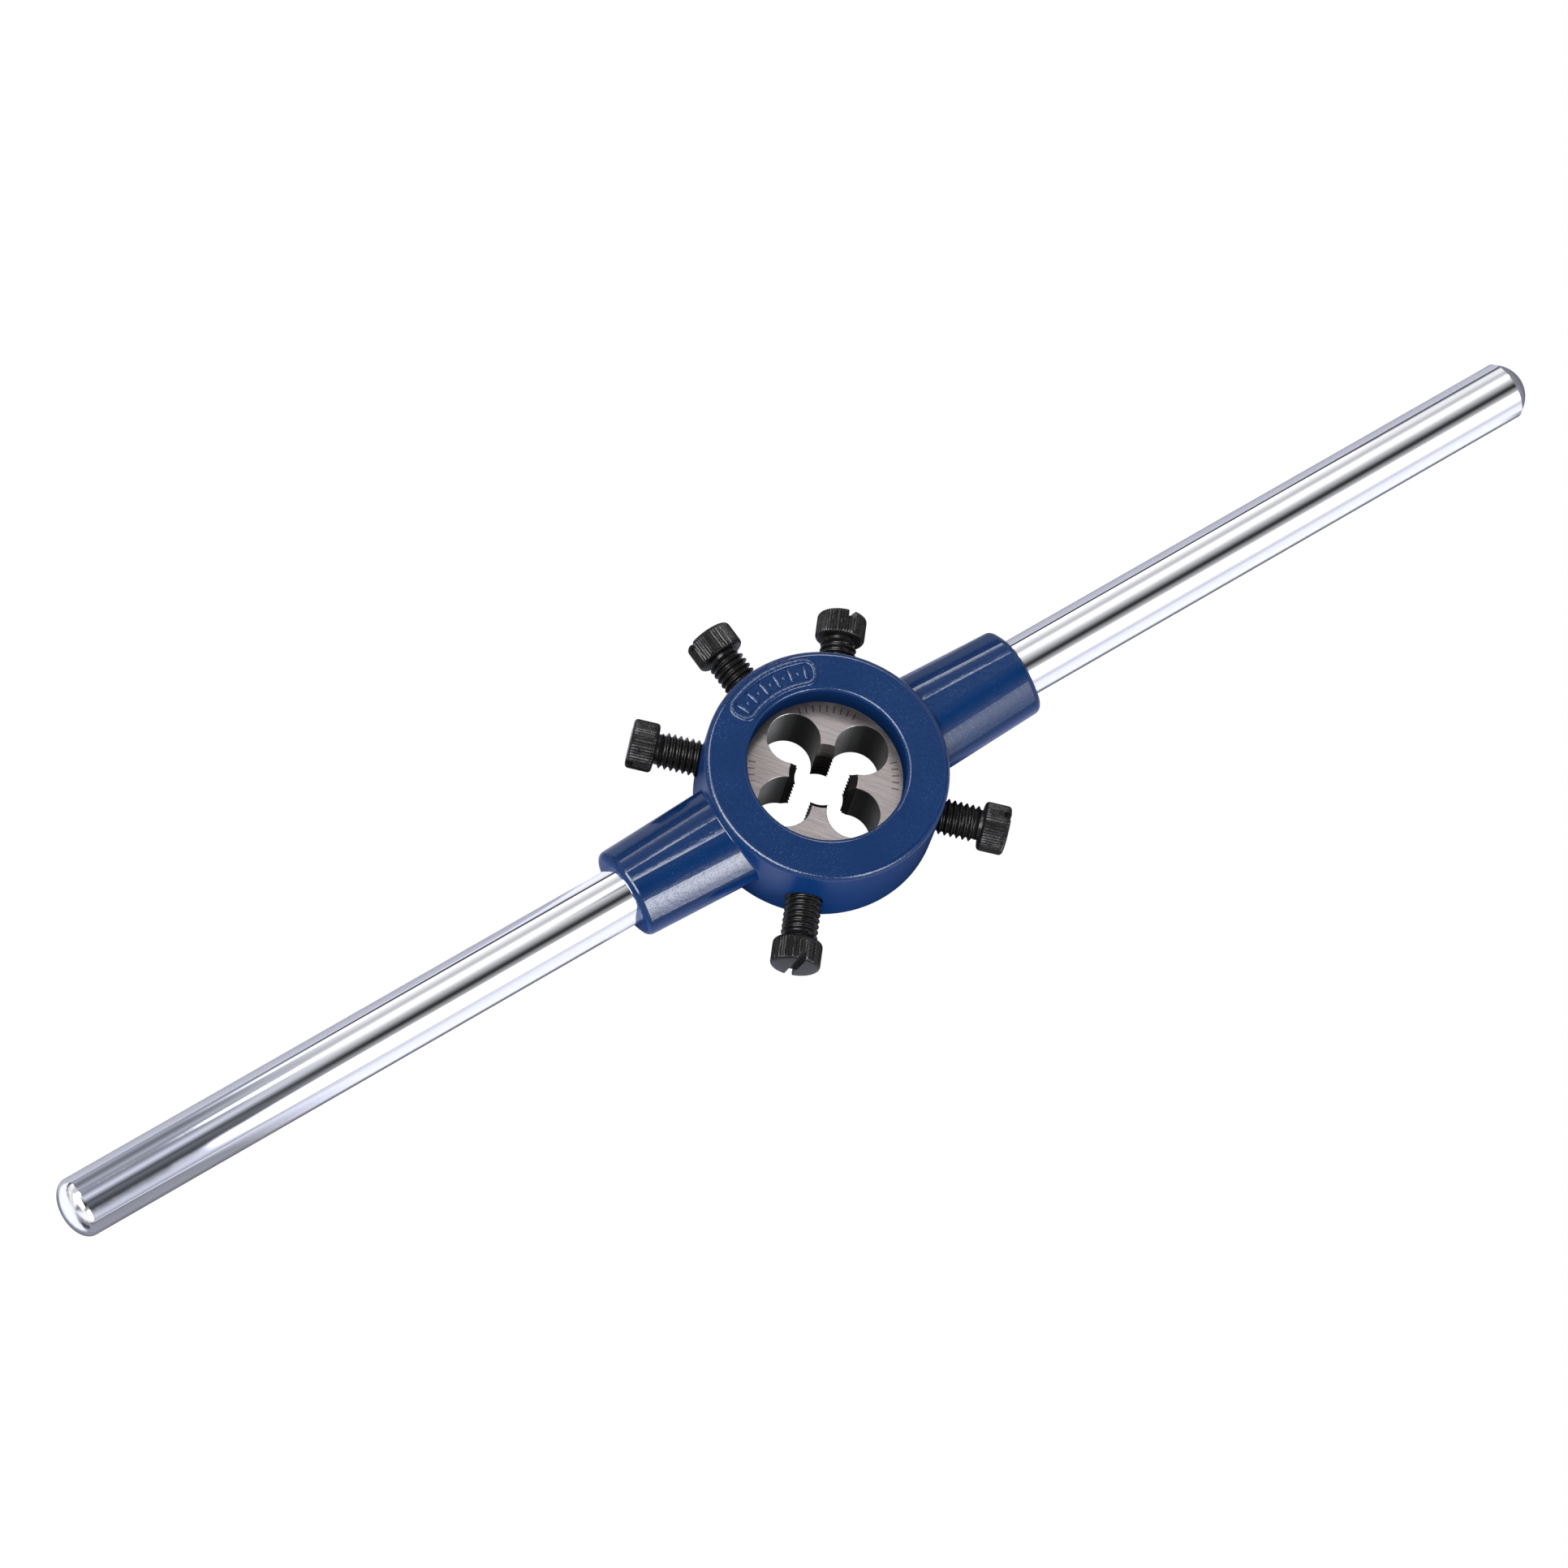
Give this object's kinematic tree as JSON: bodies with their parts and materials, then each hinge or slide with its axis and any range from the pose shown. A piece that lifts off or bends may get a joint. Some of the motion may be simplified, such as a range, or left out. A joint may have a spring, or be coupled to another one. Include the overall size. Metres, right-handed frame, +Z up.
{
  "type": "die stock handle",
  "caption": "Hand stock for a round threading die: a ring with two straight handles, and knurled screws that clamp the die.",
  "frame": {"origin": "on the ring's axis, in the plane of its underside", "axes": "+Z up out of the shoulder side along the die's thread, X along the handles, +Y towards the centre screw"},
  "size_m": [0.2284, 0.0462, 0.013],
  "materials": {
    "blue_enamel": "gloss enamel over a casting",
    "plated_steel": "bright plated",
    "ground_tool_steel": "ground faces",
    "black_steel": "black oxide, satin"
  },
  "bodies": {
    "stock": {"stock_body": "blue_enamel", "left_handle": "plated_steel", "right_handle": "plated_steel", "round_die": "ground_tool_steel"},
    "centre_screw": {"centre_screw": "black_steel"},
    "upper_left_screw": {"upper_left_screw": "black_steel"},
    "upper_right_screw": {"upper_right_screw": "black_steel"},
    "lower_left_screw": {"lower_left_screw": "black_steel"},
    "lower_right_screw": {"lower_right_screw": "black_steel"}
  },
  "joints": [
    {"name": "centre_screw_travel", "type": "slide", "parent": "stock", "child": "centre_screw", "axis": [-0.0332, 0.9995, 0], "range_m": [-0.00083, 0.0014]},
    {"name": "upper_left_screw_travel", "type": "slide", "parent": "stock", "child": "upper_left_screw", "axis": [-0.7071, 0.7071, 0], "range_m": [-0.00083, 0.0014]},
    {"name": "upper_right_screw_travel", "type": "slide", "parent": "stock", "child": "upper_right_screw", "axis": [0.6587, 0.7524, 0], "range_m": [-0.00008, 0.00215]},
    {"name": "lower_left_screw_travel", "type": "slide", "parent": "stock", "child": "lower_left_screw", "axis": [-0.6587, -0.7524, 0], "range_m": [-0.00093, 0.0013]},
    {"name": "lower_right_screw_travel", "type": "slide", "parent": "stock", "child": "lower_right_screw", "axis": [0.7071, -0.7071, 0], "range_m": [-0.00063, 0.0016]}
  ]
}
